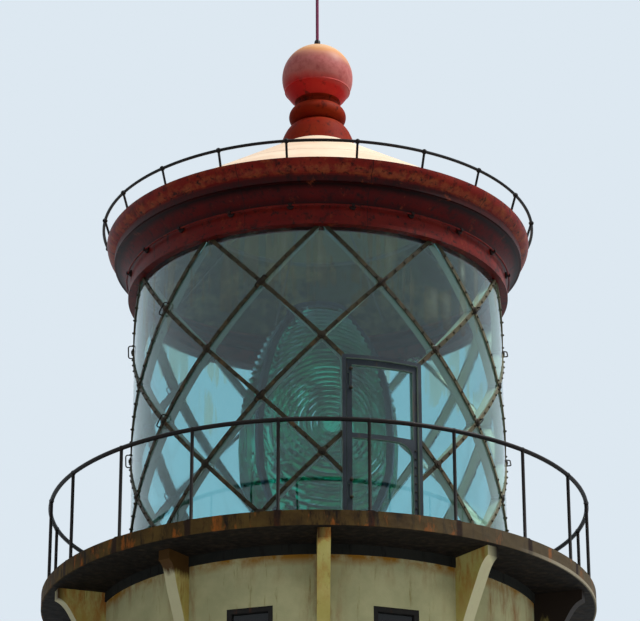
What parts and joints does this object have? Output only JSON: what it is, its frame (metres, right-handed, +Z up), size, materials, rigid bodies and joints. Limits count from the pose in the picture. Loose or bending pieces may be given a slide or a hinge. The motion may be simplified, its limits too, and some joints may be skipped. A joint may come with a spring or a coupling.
{
  "type": "lighthouse lantern room with gallery",
  "caption": "Head of a lighthouse: round watch room, bracketed gallery with handrail, diagonally glazed lantern, moulded cornice, conical roof, ball ventilator and turning lens.",
  "frame": {"origin": "on the tower's axis at the base of the watch room", "axes": "+Z up the tower's axis; -Y is the side seen in the picture, half a bay left of the lantern's door"},
  "size_m": [5.2838, 5.2838, 9.458],
  "materials": {
    "wall_stucco": "painted stucco over masonry",
    "floor_slab": "trowelled",
    "crown_band": "dark grey paint over masonry",
    "bracket_paint": "cream paint with rust",
    "deck_iron": "rust-stained rim, dark underside",
    "rail_iron": "black brown paint",
    "lattice_iron": "olive grey paint",
    "lantern_glass": "clear",
    "window_glass": "dark",
    "window_paint": "dark paint",
    "cornice_paint": "oxblood paint with rust",
    "roof_paint": "faded pink cream paint",
    "lining_paint": "grey green paint",
    "ball_paint": "red paint, sunlit",
    "door_paint": "dark blue grey paint",
    "gunmetal": "dull",
    "lens_glass": "green crown glass",
    "pedestal_paint": "green grey paint"
  },
  "bodies": {
    "root": {"ceiling_lining": "lining_paint", "cornice_rod": "cornice_paint", "door_frame": "door_paint", "door_leaf": "door_paint", "door_panes": "lantern_glass", "gallery_brackets": "bracket_paint", "gallery_deck": "deck_iron", "gallery_handrail": "rail_iron", "gallery_posts": "rail_iron", "grab_handles": "rail_iron", "lantern_cornice": "cornice_paint", "lantern_floor": "floor_slab", "lantern_lattice_1": "lattice_iron", "lantern_lattice_10": "lattice_iron", "lantern_lattice_2": "lattice_iron", "lantern_lattice_3": "lattice_iron", "lantern_lattice_4": "lattice_iron", "lantern_lattice_5": "lattice_iron", "lantern_lattice_6": "lattice_iron", "lantern_lattice_7": "lattice_iron", "lantern_lattice_8": "lattice_iron", "lantern_lattice_9": "lattice_iron", "lantern_panes_lower": "lantern_glass", "lantern_panes_upper": "lantern_glass", "lantern_sill": "lattice_iron", "lens_pedestal": "pedestal_paint", "lightning_rod": "rail_iron", "roof_cone": "roof_paint", "roof_rail": "rail_iron", "ventilator_ball": "ball_paint", "ventilator_neck": "ball_paint", "wall_crown": "crown_band", "watch_room_floor": "floor_slab", "watch_room_wall_1": "wall_stucco", "watch_room_wall_2": "wall_stucco", "watch_room_wall_3": "wall_stucco", "watch_room_wall_4": "wall_stucco", "watch_room_wall_5": "wall_stucco", "window_frames": "window_paint", "window_panes": "window_glass"},
    "lens": {"lens_foot_ring": "gunmetal", "lens_head_ring": "gunmetal", "lens_panel_1": "lens_glass", "lens_panel_2": "lens_glass", "lens_panel_3": "lens_glass", "lens_prisms_1": "lens_glass", "lens_prisms_2": "lens_glass", "lens_prisms_3": "lens_glass", "lens_turntable": "gunmetal", "lens_uprights": "gunmetal"}
  },
  "joints": [
    {"name": "lens_turn", "type": "hinge", "parent": "root", "child": "lens", "pos_m": [0, 0, 3], "axis": [0, 0, 1], "continuous": true}
  ]
}
